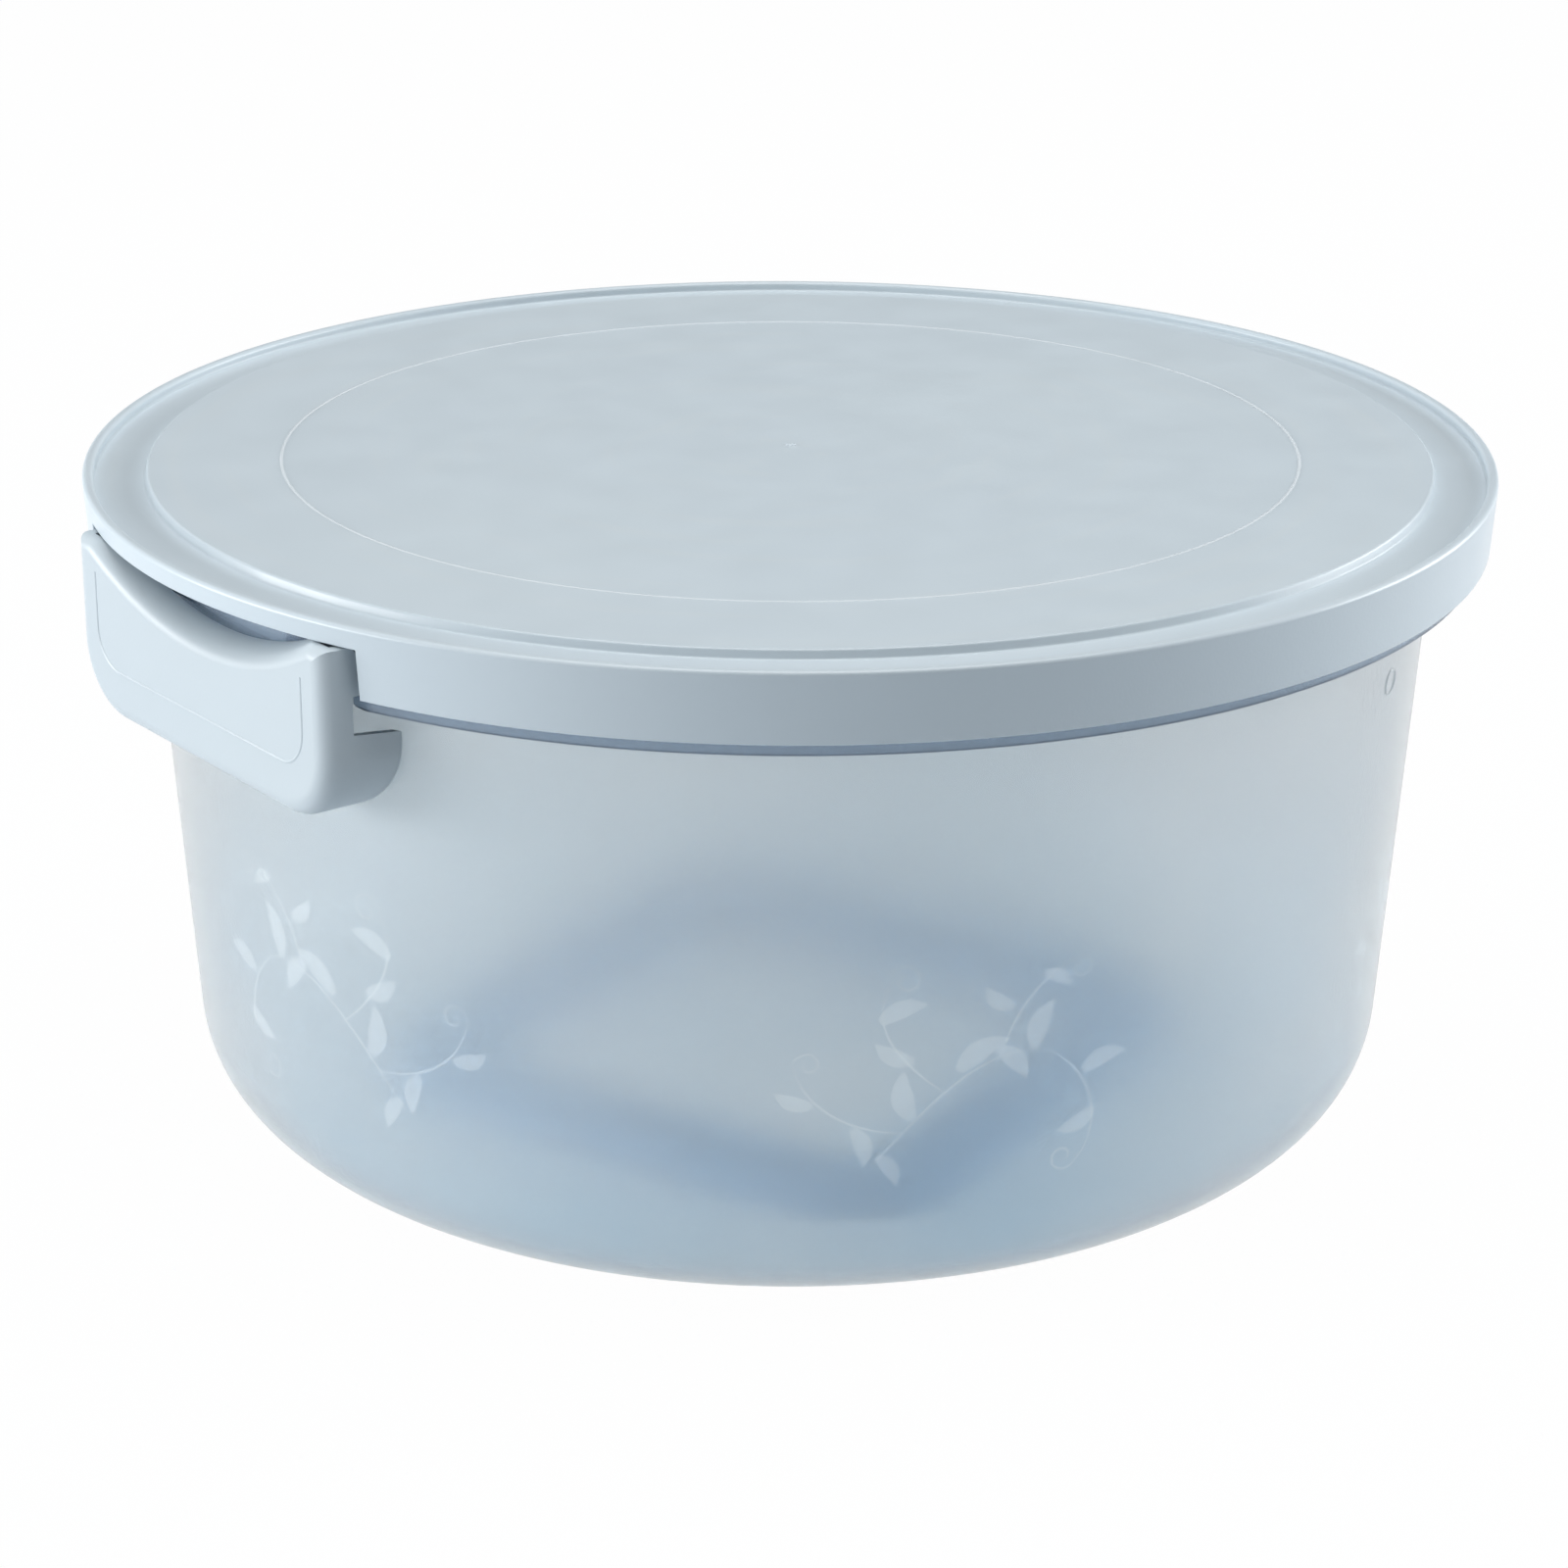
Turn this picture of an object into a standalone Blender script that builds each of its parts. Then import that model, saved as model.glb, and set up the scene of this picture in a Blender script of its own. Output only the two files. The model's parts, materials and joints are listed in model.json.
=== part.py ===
"""Round food carrier: a frosted tub, a press-on lid, two fold-out clip handles and a loose ring inside.

Metres, +Z up. The origin is the centre of the tub's base, and the clip handles are on -X and +X.
"""
from math import acos, asin, atan, cos, degrees, pi, radians, sin, sqrt

import bmesh
import bpy
from mathutils import Matrix, Vector

# Driving sizes
HEIGHT = 0.1488
LID_RADIUS = 0.155
AROUND = 72
GAP = 0.0003
PAST = 0.01  # how far a cutter reaches past what it cuts

# Tub
WALL = 0.0020
WALL_RADIUS_AT_FLOOR = 0.1332
WALL_LEAN = 0.0657
CORNER_RADIUS = 0.0265
CORNER_STEPS = 7
LIP_RADIUS = 0.1517
LIP_THICKNESS = 0.0018
LIP_BOTTOM = HEIGHT - 0.0180
RIM_ROUND = 0.0010

# Lid
PLATE = 0.0020
PLATFORM_RADIUS = 0.1395
PLATFORM_EDGE = 0.0010
GROOVE_DEPTH = 0.0022
GROOVE_FOOT = 0.1420
BEAD_INNER_RADIUS = 0.1526
BEAD_EDGE = 0.0006
SKIRT_BOTTOM = HEIGHT - 0.0150
SKIRT_FOOT_RADIUS = 0.1540
SKIRT_THICKNESS = 0.0020
PLUG_RADIUS = 0.1399
PLUG_THICKNESS = 0.0018
PLUG_BOTTOM = HEIGHT - 0.0110
BAND_HEIGHT = 0.0046
NOTCH_HALF = 0.0521

# The lid's channel floor lies this far above the tub's rim
RIM_TOP = HEIGHT - GROOVE_DEPTH - PLATE - GAP

# Clip handles: depths are counted inwards from the front face
CLIP_FRONT = 0.1515
CLIP_HALF = 0.0494
CLIP_DEPTH = 0.0068
CLIP_BOTTOM = HEIGHT - 0.0426
CLIP_CORNER = 0.0160
CLIP_EDGE = 0.0040
CLIP_TOP_EDGE = 0.0034
CLIP_BACK_EDGE = 0.0004
CLIP_BACK_ROWS = (0.0052, CLIP_DEPTH - CLIP_BACK_EDGE, CLIP_DEPTH)
CLIP_WALL = 0.0024
CLIP_END_WALL = 0.0016
KNUCKLE = CLIP_DEPTH / 2
AXIS_X = CLIP_FRONT - KNUCKLE
AXIS_Z = HEIGHT - 0.0088
TOP_OVER_AXIS = HEIGHT - BAND_HEIGHT - GAP - AXIS_Z
SCOOP_BOTTOM = HEIGHT - 0.0183
SCOOP_RISE = 0.0048  # from the front face to the plate's back
SCOOP_RADIUS = 0.0950
HEAD_RADIUS = 0.0051  # the thicker upper part of the plate keeps within this of the hinge axis
HEAD_FOOT = SKIRT_BOTTOM
HEAD_SINK = 0.0010
HEAD_INSET = 0.0001
HEAD_STEPS = 6
LIP_TOP_Z = HEIGHT - 0.0230
LIP_FALL = 0.0013  # the lip's top slopes down by this much on its way back
LIP_BACK = 0.1421
LIP_CURVE = 0.1326
LIP_LENGTH = CLIP_FRONT - CLIP_DEPTH - LIP_BACK + CLIP_HALF ** 2 / (2 * LIP_CURVE)
LIP_HEEL = 0.0018
LIP_END_EDGE = 0.0015
LIP_TOP_EDGE = 0.0018
LIP_ROWS = (0, 0.5, 0.85, 0.95, 1)  # shares of the way from the plate's back to the lip's back
HOLLOW_ROOF = HEIGHT - 0.0135
HOLLOW_REACH = 0.02  # how far the hollow's cutter reaches past the lip's back
CLIP_CORNER_STEPS = 6
CLIP_MIDDLE_STEPS = 14

# Hinge lugs on the tub, two to a handle, with a stub pin on each side
LUG_NEAR = 0.0434
LUG_FAR = 0.0464
LUG_RADIUS = 0.0021
LUG_ARM_TOP = -0.0004  # the arm under the head stays below the axis
LUG_STEPS = 12
PIN_RADIUS = 0.0012
PIN_LENGTH = 0.0014
PIN_STEPS = 16
FLAT_X = 0.1426
FLAT_HALF = 0.060
FLAT_BOTTOM = HEIGHT - 0.0130
FLAT_THICKNESS = 0.0018

# Loose ring on the tub's floor
RING_SIDE = 0.128
RING_WIDTH = 0.020
RING_HEIGHT = 0.009
RING_CORNER = 0.018
RING_CORNER_STEPS = 6
RING_EDGE = 0.0035
RING_EDGE_STEPS = 3
RING_TURN = radians(19.5)

SMOOTH_ANGLE = radians(35)


def new_material(name, colour, roughness, alpha=1.0):
    """A Principled plastic in one colour."""
    material = bpy.data.materials.new(name)
    material.use_nodes = True
    shader = material.node_tree.nodes["Principled BSDF"]
    shader.inputs["Base Color"].default_value = (*colour, 1.0)
    shader.inputs["Roughness"].default_value = roughness
    shader.inputs["Metallic"].default_value = 0.0
    shader.inputs["Alpha"].default_value = alpha
    return material


def new_object(name, bm):
    """Turns a bmesh into an object in the scene, with its faces pointing out."""
    bmesh.ops.recalc_face_normals(bm, faces=bm.faces)
    mesh = bpy.data.meshes.new(name)
    bm.to_mesh(mesh)
    bm.free()
    obj = bpy.data.objects.new(name, mesh)
    bpy.context.collection.objects.link(obj)
    return obj


def arc(centre, radius, start, end, steps):
    """Points of a round stretch, angles in degrees counted from +r towards +z."""
    angles = [radians(start + (end - start) * i / steps) for i in range(steps + 1)]
    return [(centre[0] + radius * cos(a), centre[1] + radius * sin(a)) for a in angles]


def turned(name, profile):
    """Spins an (r, z) profile, which starts and ends on the Z axis, about that axis."""
    bm = bmesh.new()
    verts = [bm.verts.new((r, 0, z)) for r, z in profile]
    edges = [bm.edges.new(pair) for pair in zip(verts, verts[1:])]
    bmesh.ops.spin(bm, geom=verts + edges, cent=(0, 0, 0), axis=(0, 0, 1), angle=2 * pi,
                   steps=AROUND, use_merge=True)
    bmesh.ops.remove_doubles(bm, verts=bm.verts, dist=1e-6)
    return new_object(name, bm)


def box(name, low, high):
    """A box between two corners."""
    bm = bmesh.new()
    bmesh.ops.create_cube(bm, size=1.0)
    low, high = Vector(low), Vector(high)
    size = high - low
    bmesh.ops.scale(bm, vec=size, verts=bm.verts)
    bmesh.ops.translate(bm, vec=(low + high) / 2, verts=bm.verts)
    return new_object(name, bm)


def pin_along_y(name, radius, near, far):
    """A pin's cylinder, on the handle's hinge axis."""
    bm = bmesh.new()
    turn = Matrix.Rotation(pi / 2, 4, "X")
    place = Matrix.Translation((AXIS_X, (near + far) / 2, AXIS_Z))
    bmesh.ops.create_cone(bm, cap_ends=True, segments=PIN_STEPS, radius1=radius, radius2=radius,
                          depth=abs(far - near), matrix=place @ turn)
    return new_object(name, bm)


def extruded_along_y(name, outline, near, far):
    """Extrudes an (x, z) outline between two planes of constant y."""
    bm = bmesh.new()
    face = bm.faces.new([bm.verts.new((x, near, z)) for x, z in outline])
    grown = bmesh.ops.extrude_face_region(bm, geom=[face])
    moved = [item for item in grown["geom"] if isinstance(item, bmesh.types.BMVert)]
    bmesh.ops.translate(bm, vec=(0, far - near, 0), verts=moved)
    return new_object(name, bm)


def combine(obj, operation, tools):
    """Applies exact Booleans to obj, and removes the tools afterwards."""
    for tool in tools:
        step = obj.modifiers.new(operation.lower(), "BOOLEAN")
        step.operation = operation
        step.solver = "EXACT"
        step.object = tool
    bpy.context.view_layer.update()
    graph = bpy.context.evaluated_depsgraph_get()
    mesh = bpy.data.meshes.new_from_object(obj.evaluated_get(graph))
    obj.modifiers.clear()
    obj.data = mesh
    for tool in tools:
        bpy.data.objects.remove(tool)


def finish(obj, material):
    """Gives an object its material and smooth shading between its sharp edges."""
    obj.data.materials.clear()
    obj.data.materials.append(material)
    obj.data.shade_smooth()
    obj.data.set_sharp_from_angle(angle=SMOOTH_ANGLE)


def tub_profile():
    """The tub's section from the middle of the base, up the outside and down the inside."""
    slope = sqrt(1 + WALL_LEAN ** 2)
    corner_r = WALL_RADIUS_AT_FLOOR + WALL_LEAN * CORNER_RADIUS - CORNER_RADIUS * slope
    corner = (corner_r, CORNER_RADIUS)
    wall_angle = -degrees(atan(WALL_LEAN))

    def outer(z):
        return WALL_RADIUS_AT_FLOOR + WALL_LEAN * z

    under_rim = RIM_TOP - LIP_THICKNESS
    outside = [(0, 0)] + arc(corner, CORNER_RADIUS, -90, wall_angle, CORNER_STEPS)
    flange = [
        (outer(under_rim), under_rim),
        (LIP_RADIUS - LIP_THICKNESS, under_rim),
        (LIP_RADIUS - LIP_THICKNESS, LIP_BOTTOM),
        (LIP_RADIUS, LIP_BOTTOM),
    ]
    rounded = arc((LIP_RADIUS - RIM_ROUND, RIM_TOP - RIM_ROUND), RIM_ROUND, 0, 90, 2)
    inner_top = [(outer(RIM_TOP) - WALL * slope, RIM_TOP)]
    inside = arc(corner, CORNER_RADIUS - WALL, wall_angle, -90, CORNER_STEPS) + [(0, WALL)]
    return outside + flange + rounded + inner_top + inside


def hinge_lug(side):
    """One lug on the tub's flat, with its stub pins. side is -1 or 1 along Y."""
    head = arc((AXIS_X, AXIS_Z), LUG_RADIUS, -90, 180 - degrees(asin(LUG_ARM_TOP / LUG_RADIUS)), LUG_STEPS)
    foot = FLAT_X - FLAT_THICKNESS / 2
    outline = [(foot, AXIS_Z - LUG_RADIUS)] + head + [(foot, AXIS_Z + LUG_ARM_TOP)]
    lug = extruded_along_y("lug", outline, side * LUG_NEAR, side * LUG_FAR)
    pin = pin_along_y("pin", PIN_RADIUS, side * (LUG_NEAR - PIN_LENGTH), side * (LUG_FAR + PIN_LENGTH))
    return lug, pin


def make_tub(material):
    """The tub: a turned wall and rim, cut flat behind each handle, with the hinge lugs."""
    tub = turned("tub", tub_profile())
    web_half = sqrt(LIP_RADIUS ** 2 - FLAT_X ** 2) - LIP_THICKNESS / 2
    web_top = RIM_TOP - LIP_THICKNESS / 2
    flats = []
    additions = []
    for turn in (0, pi):
        spun = Matrix.Rotation(turn, 4, "Z")
        flat = box("flat", (FLAT_X, -FLAT_HALF, LIP_BOTTOM - PAST), (LID_RADIUS, FLAT_HALF, HEIGHT))
        flat.data.transform(spun)
        flats.append(flat)
        web = box("web", (FLAT_X - FLAT_THICKNESS, -web_half, FLAT_BOTTOM), (FLAT_X, web_half, web_top))
        web.data.transform(spun)
        additions.append(web)
        for side in (-1, 1):
            for piece in hinge_lug(side):
                piece.data.transform(spun)
                additions.append(piece)
    combine(tub, "DIFFERENCE", flats)
    combine(tub, "UNION", additions)
    finish(tub, material)
    return tub


def lid_profile():
    """The lid's section from the middle of its top, over the rim and back underneath."""
    floor = HEIGHT - GROOVE_DEPTH
    ceiling = floor - PLATE
    platform = arc((PLATFORM_RADIUS - PLATFORM_EDGE, HEIGHT - PLATFORM_EDGE), PLATFORM_EDGE, 90, 30, 2)
    bead = arc((BEAD_INNER_RADIUS + BEAD_EDGE, HEIGHT - BEAD_EDGE), BEAD_EDGE, 180, 90, 2)
    bead += arc((LID_RADIUS - BEAD_EDGE, HEIGHT - BEAD_EDGE), BEAD_EDGE, 90, 0, 2)
    skirt = [
        (SKIRT_FOOT_RADIUS, SKIRT_BOTTOM),
        (SKIRT_FOOT_RADIUS - SKIRT_THICKNESS, SKIRT_BOTTOM),
        (BEAD_INNER_RADIUS, ceiling),
    ]
    plug = [
        (PLUG_RADIUS, ceiling),
        (PLUG_RADIUS, PLUG_BOTTOM),
        (PLUG_RADIUS - PLUG_THICKNESS, PLUG_BOTTOM),
        (PLUG_RADIUS - PLUG_THICKNESS, HEIGHT - PLATE),
    ]
    top = [(0, HEIGHT)] + platform + [(GROOVE_FOOT, floor), (BEAD_INNER_RADIUS, floor)]
    return top + bead + skirt + plug + [(0, HEIGHT - PLATE)]


def make_lid(material):
    """The lid: a turned plate, bead and skirt, with the skirt notched round each handle."""
    lid = turned("lid", lid_profile())
    inside = PLUG_RADIUS + 2 * GAP
    outside = LID_RADIUS + PAST
    notches = []
    for low, high in ((inside, outside), (-outside, -inside)):
        notches.append(box("notch", (low, -NOTCH_HALF, SKIRT_BOTTOM - PAST),
                           (high, NOTCH_HALF, HEIGHT - BAND_HEIGHT)))
    combine(lid, "DIFFERENCE", notches)
    finish(lid, material)
    return lid


def corner_row(inset):
    """Distances along the handle: even steps in the middle, closing up round the corners."""
    middle = CLIP_HALF - CLIP_CORNER
    inner = [middle * (2 * i / CLIP_MIDDLE_STEPS - 1) for i in range(CLIP_MIDDLE_STEPS + 1)]
    angles = [pi / 2 * i / CLIP_CORNER_STEPS for i in range(1, CLIP_CORNER_STEPS + 1)]
    curve = [middle + (CLIP_CORNER - inset) * sin(a) for a in angles]
    return [-s for s in reversed(curve)] + inner + curve


def bottom_edge(s, low, side_inset, low_inset):
    """Height of the handle's lower outline at s, with its round corners."""
    reach = CLIP_CORNER - side_inset
    rise = CLIP_CORNER - low_inset
    past = max(0.0, abs(s) - (CLIP_HALF - CLIP_CORNER)) / reach
    return low + low_inset + rise * (1 - sqrt(max(0.0, 1 - past ** 2)))


def scoop_edge(s, depth):
    """Height of the thumb scoop at s: it rises as it goes inwards, steeply at first and then level."""
    bottom = SCOOP_BOTTOM + SCOOP_RISE * sqrt(1 - (1 - depth / CLIP_DEPTH) ** 2)
    return bottom + SCOOP_RADIUS - sqrt(SCOOP_RADIUS ** 2 - s ** 2)


def rounding(distance, radius):
    """How far a round edge has drawn in, at a distance from the face that it runs out to."""
    past = max(0.0, radius - distance)
    return radius - sqrt(radius ** 2 - past ** 2)


def lip_back(s):
    """How far out the back of the handle's lip is: it bends round the tub's wall."""
    return LIP_BACK - s ** 2 / (2 * LIP_CURVE)


def waist(above, below, step):
    """The point of a ring's end at the height of the step, where the ring reaches it."""
    x, s, high = above
    return x, s, min(high, max(step, below[2]))


def loft(name, rings, step):
    """Joins rings of (top row, bottom row) into one closed solid, with a strip over each end.

    Rings differ in height at the step, so each has a point there on both of its ends.
    """
    bm = bmesh.new()
    loops = []
    for top, bottom in rings:
        near = waist(top[0], bottom[0], step)
        far = waist(top[-1], bottom[-1], step)
        loops.append([bm.verts.new(point) for point in [near] + top + [far] + bottom[::-1]])
    for first, second in zip(loops, loops[1:]):
        for i in range(len(first)):
            j = (i + 1) % len(first)
            bm.faces.new((first[i], first[j], second[j], second[i]))
    count = len(rings[0][0])
    for loop in (loops[0], loops[-1]):
        top = loop[1:count + 1]
        bottom = loop[:count + 1:-1]
        bm.faces.new((loop[0], top[0], top[1], bottom[1], bottom[0]))
        for i in range(1, count - 2):
            bm.faces.new((top[i], top[i + 1], bottom[i + 1], bottom[i]))
        bm.faces.new((top[-2], top[-1], loop[count + 1], bottom[-1], bottom[-2]))
    bmesh.ops.remove_doubles(bm, verts=bm.verts, dist=1e-6)
    bmesh.ops.triangulate(bm, faces=bm.faces)
    return new_object(name, bm)


def height_over_axis(depth):
    """Height of the plate's top over the hinge axis, with a round edge in front and a small one behind."""
    if depth < CLIP_TOP_EDGE:
        return TOP_OVER_AXIS - rounding(depth, CLIP_TOP_EDGE)
    return TOP_OVER_AXIS - rounding(CLIP_DEPTH - depth, CLIP_BACK_EDGE)


def clip_ring(depth, inset):
    """One ring of the handle's plate, at a depth behind its front face."""
    x = CLIP_FRONT - depth
    over = height_over_axis(depth)
    top, bottom = [], []
    for s in corner_row(inset):
        top.append((x, s, min(AXIS_Z + over, scoop_edge(s, depth))))
        bottom.append((x, s, bottom_edge(s, CLIP_BOTTOM, inset, inset)))
    return top, bottom


def lip_ring(share):
    """One ring of the handle's lip, a share of the way from the plate's back to the lip's back."""
    top, bottom = [], []
    back = CLIP_FRONT - CLIP_DEPTH
    distance = (1 - share) * LIP_LENGTH
    side_inset = rounding(distance, LIP_END_EDGE)
    low_inset = rounding(distance, LIP_HEEL)
    high = LIP_TOP_Z - share * LIP_FALL - rounding(distance, LIP_TOP_EDGE)
    for s in corner_row(side_inset):
        x = back - share * (back - lip_back(s))
        top.append((x, s, high))
        bottom.append((x, s, bottom_edge(s, CLIP_BOTTOM, side_inset, low_inset)))
    return top, bottom


def hollow_ring(x):
    """One ring of the hollow behind the plate, which is open towards the tub."""
    top, bottom = [], []
    for s in corner_row(CLIP_END_WALL):
        top.append((x, s, min(HOLLOW_ROOF, scoop_edge(s, CLIP_WALL) - CLIP_WALL)))
        bottom.append((x, s, bottom_edge(s, CLIP_BOTTOM, CLIP_END_WALL, CLIP_WALL)))
    return top, bottom


def clip_head():
    """The thicker part behind each end of the plate's top, round about the hinge axis so that it can turn."""
    over = TOP_OVER_AXIS - CLIP_BACK_EDGE
    inside = CLIP_FRONT - CLIP_DEPTH + HEAD_SINK
    outline = [(inside, AXIS_Z + over)]
    outline += arc((AXIS_X, AXIS_Z), HEAD_RADIUS, 180 - degrees(asin(over / HEAD_RADIUS)), 180, HEAD_STEPS)
    outline += [(AXIS_X - HEAD_RADIUS, HEAD_FOOT), (inside, HEAD_FOOT)]
    near, far = LUG_NEAR - PIN_LENGTH - 2 * GAP, CLIP_HALF - HEAD_INSET
    return [extruded_along_y("head", outline, side * near, side * far) for side in (-1, 1)]


def hinge_slot(side):
    """The room for one lug, open behind and above so that the handle can turn, with its pin holes."""
    room = LUG_RADIUS + GAP
    right = LUG_ARM_TOP + GAP
    outline = arc((AXIS_X, AXIS_Z), room, -90, degrees(acos(right / room)), LUG_STEPS)
    outline += [(AXIS_X + right, HEIGHT), (AXIS_X - CLIP_DEPTH, HEIGHT), (AXIS_X - CLIP_DEPTH, AXIS_Z - room)]
    slot = extruded_along_y("slot", outline, side * (LUG_NEAR - GAP), side * (LUG_FAR + GAP))
    hole_end = PIN_LENGTH + GAP
    hole = pin_along_y("pin_hole", PIN_RADIUS + GAP, side * (LUG_NEAR - hole_end), side * (LUG_FAR + hole_end))
    combine(slot, "UNION", [hole])
    return slot


def make_clip_mesh(material):
    """The handle: a plate with a thumb scoop on top and a lip along its foot, hollow behind."""
    turns = [radians(a) for a in (0, 30, 60, 90)]
    rings = [clip_ring(CLIP_EDGE * (1 - cos(a)), CLIP_EDGE * (1 - sin(a))) for a in turns]
    rings += [clip_ring(depth, 0) for depth in CLIP_BACK_ROWS]
    rings += [lip_ring(share) for share in LIP_ROWS]
    clip = loft("clip", rings, LIP_TOP_Z)
    combine(clip, "UNION", clip_head())

    hollow_ends = (CLIP_FRONT - CLIP_WALL, LIP_BACK - HOLLOW_REACH)
    hollow = loft("hollow", [hollow_ring(x) for x in hollow_ends], LIP_TOP_Z)
    combine(clip, "DIFFERENCE", [hinge_slot(-1), hinge_slot(1), hollow])
    clip.data.transform(Matrix.Translation((-AXIS_X, 0, -AXIS_Z)))
    finish(clip, material)
    mesh = clip.data
    bpy.data.objects.remove(clip)
    return mesh


def place_clip(name, mesh, turn):
    """Puts a handle on its hinge axis, on one side of the tub."""
    clip = bpy.data.objects.new(name, mesh)
    bpy.context.collection.objects.link(clip)
    clip.location = (AXIS_X * cos(turn), AXIS_X * sin(turn), AXIS_Z)
    clip.rotation_euler = (0, 0, turn)
    return clip


def make_ring(material):
    """The loose ring: a rounded square of a flat band, lying on the tub's floor."""
    reach = RING_WIDTH / 2 - RING_EDGE
    section = []
    for r, z, start in ((reach, RING_EDGE, -90), (reach, RING_HEIGHT - RING_EDGE, 0),
                        (-reach, RING_HEIGHT - RING_EDGE, 90), (-reach, RING_EDGE, 180)):
        section += arc((r, z), RING_EDGE, start, start + 90, RING_EDGE_STEPS)

    bm = bmesh.new()
    loops = []
    corner_at = (RING_SIDE / 2 - RING_CORNER) * sqrt(2)
    for quarter in range(4):
        corner = Matrix.Rotation(pi / 2 * quarter + pi / 4, 3, "Z") @ Vector((corner_at, 0, 0))
        for i in range(RING_CORNER_STEPS + 1):
            turn = Matrix.Rotation(pi / 2 * (quarter + i / RING_CORNER_STEPS), 3, "Z")
            loops.append([bm.verts.new(corner + turn @ Vector((RING_CORNER + r, 0, z))) for r, z in section])
    for first, second in zip(loops, loops[1:] + loops[:1]):
        for i in range(len(first)):
            j = (i + 1) % len(first)
            bm.faces.new((first[i], first[j], second[j], second[i]))
    ring = new_object("lift_out_ring", bm)
    ring.location = (0, 0, WALL + GAP)
    ring.rotation_euler = (0, 0, RING_TURN)
    finish(ring, material)
    return ring


def main():
    for obj in list(bpy.data.objects):
        bpy.data.objects.remove(obj)
    frosted = new_material("frosted_tub", (0.66, 0.73, 0.80), 0.35, 0.6)
    lid_blue = new_material("lid_blue_grey", (0.60, 0.69, 0.74), 0.35)
    clip_blue = new_material("clip_pale_blue", (0.68, 0.77, 0.82), 0.35)
    ring_blue = new_material("ring_blue", (0.36, 0.52, 0.70), 0.4)
    make_tub(frosted)
    make_lid(lid_blue)
    clip_mesh = make_clip_mesh(clip_blue)
    place_clip("clip_handle_left", clip_mesh, pi)
    place_clip("clip_handle_right", clip_mesh, 0)
    make_ring(ring_blue)


main()
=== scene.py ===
# Cake carrier: frosted tub, opaque lid, two fold-out clip handles and a loose ring in the tub
import json
import math

import bmesh
import bpy
from mathutils import Matrix, Vector


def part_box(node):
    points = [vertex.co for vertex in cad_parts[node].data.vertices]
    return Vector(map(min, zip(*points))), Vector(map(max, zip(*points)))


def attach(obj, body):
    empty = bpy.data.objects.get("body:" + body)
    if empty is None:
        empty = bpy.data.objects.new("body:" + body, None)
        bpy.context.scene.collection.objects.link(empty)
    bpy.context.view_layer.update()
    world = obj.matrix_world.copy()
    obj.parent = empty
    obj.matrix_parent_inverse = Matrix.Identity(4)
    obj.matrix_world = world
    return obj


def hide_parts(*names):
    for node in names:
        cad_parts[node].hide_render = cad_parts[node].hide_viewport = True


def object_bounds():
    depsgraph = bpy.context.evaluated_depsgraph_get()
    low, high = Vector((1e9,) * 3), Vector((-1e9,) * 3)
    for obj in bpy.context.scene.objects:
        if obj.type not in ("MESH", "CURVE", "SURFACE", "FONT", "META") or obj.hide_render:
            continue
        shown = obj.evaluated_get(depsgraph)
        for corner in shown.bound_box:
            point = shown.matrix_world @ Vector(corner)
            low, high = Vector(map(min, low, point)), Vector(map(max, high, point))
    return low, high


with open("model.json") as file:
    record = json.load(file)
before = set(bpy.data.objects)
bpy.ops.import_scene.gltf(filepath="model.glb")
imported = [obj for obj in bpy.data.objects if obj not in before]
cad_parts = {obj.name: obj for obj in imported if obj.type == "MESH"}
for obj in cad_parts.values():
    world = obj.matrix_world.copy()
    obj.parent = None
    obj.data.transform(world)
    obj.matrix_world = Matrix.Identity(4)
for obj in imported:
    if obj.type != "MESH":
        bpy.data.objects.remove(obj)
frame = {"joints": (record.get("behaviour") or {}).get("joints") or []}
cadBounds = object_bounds()
top = cadBounds[1].z  # the lid's top; heights called drop are counted down from here
lidRadius = cadBounds[1].x
gap = 0.0003  # between pieces that move against each other
bandDrop = 0.0046  # the lid's band over each handle reaches down this far
around = 288  # steps round the tub and the lid
pinSteps = 32
chordError = 0.00002  # how far a round corner's facets may stand off its arc
toolReach = 0.01  # how far a cutting tool stands out of what it cuts
weld, fineWeld = 1e-6, 1e-7  # points closer than this are merged


# Outlines: (radius, height, corner radius) points become an outline with round corners
def filleted(corners):
    outline = []
    for i, (r, z, radius) in enumerate(corners):
        here = Vector((r, z))
        if radius == 0:
            outline.append(here)
            continue
        before = (Vector(corners[i - 1][:2]) - here).normalized()
        after = (Vector(corners[(i + 1) % len(corners)][:2]) - here).normalized()
        half = before.angle(after) / 2
        centre = here + (before + after).normalized() * radius / math.sin(half)
        start = here + before * radius / math.tan(half) - centre
        end = here + after * radius / math.tan(half) - centre
        first = math.atan2(start.y, start.x)
        turn = (math.atan2(end.y, end.x) - first + math.pi) % (2 * math.pi) - math.pi
        steps = max(2, math.ceil(abs(turn) / (2 * math.acos(1 - chordError / radius))))
        for k in range(steps + 1):
            a = first + turn * k / steps
            outline.append(centre + radius * Vector((math.cos(a), math.sin(a))))
    return outline


def vertsOf(geometry):
    return [g for g in geometry if isinstance(g, bmesh.types.BMVert)]


def edgesOf(geometry):
    return [g for g in geometry if isinstance(g, bmesh.types.BMEdge)]


def meshObject(name, bm):
    mesh = bpy.data.meshes.new(name)
    bm.to_mesh(mesh)
    bm.free()
    piece = bpy.data.objects.new(name, mesh)
    bpy.context.collection.objects.link(piece)
    return piece


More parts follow.
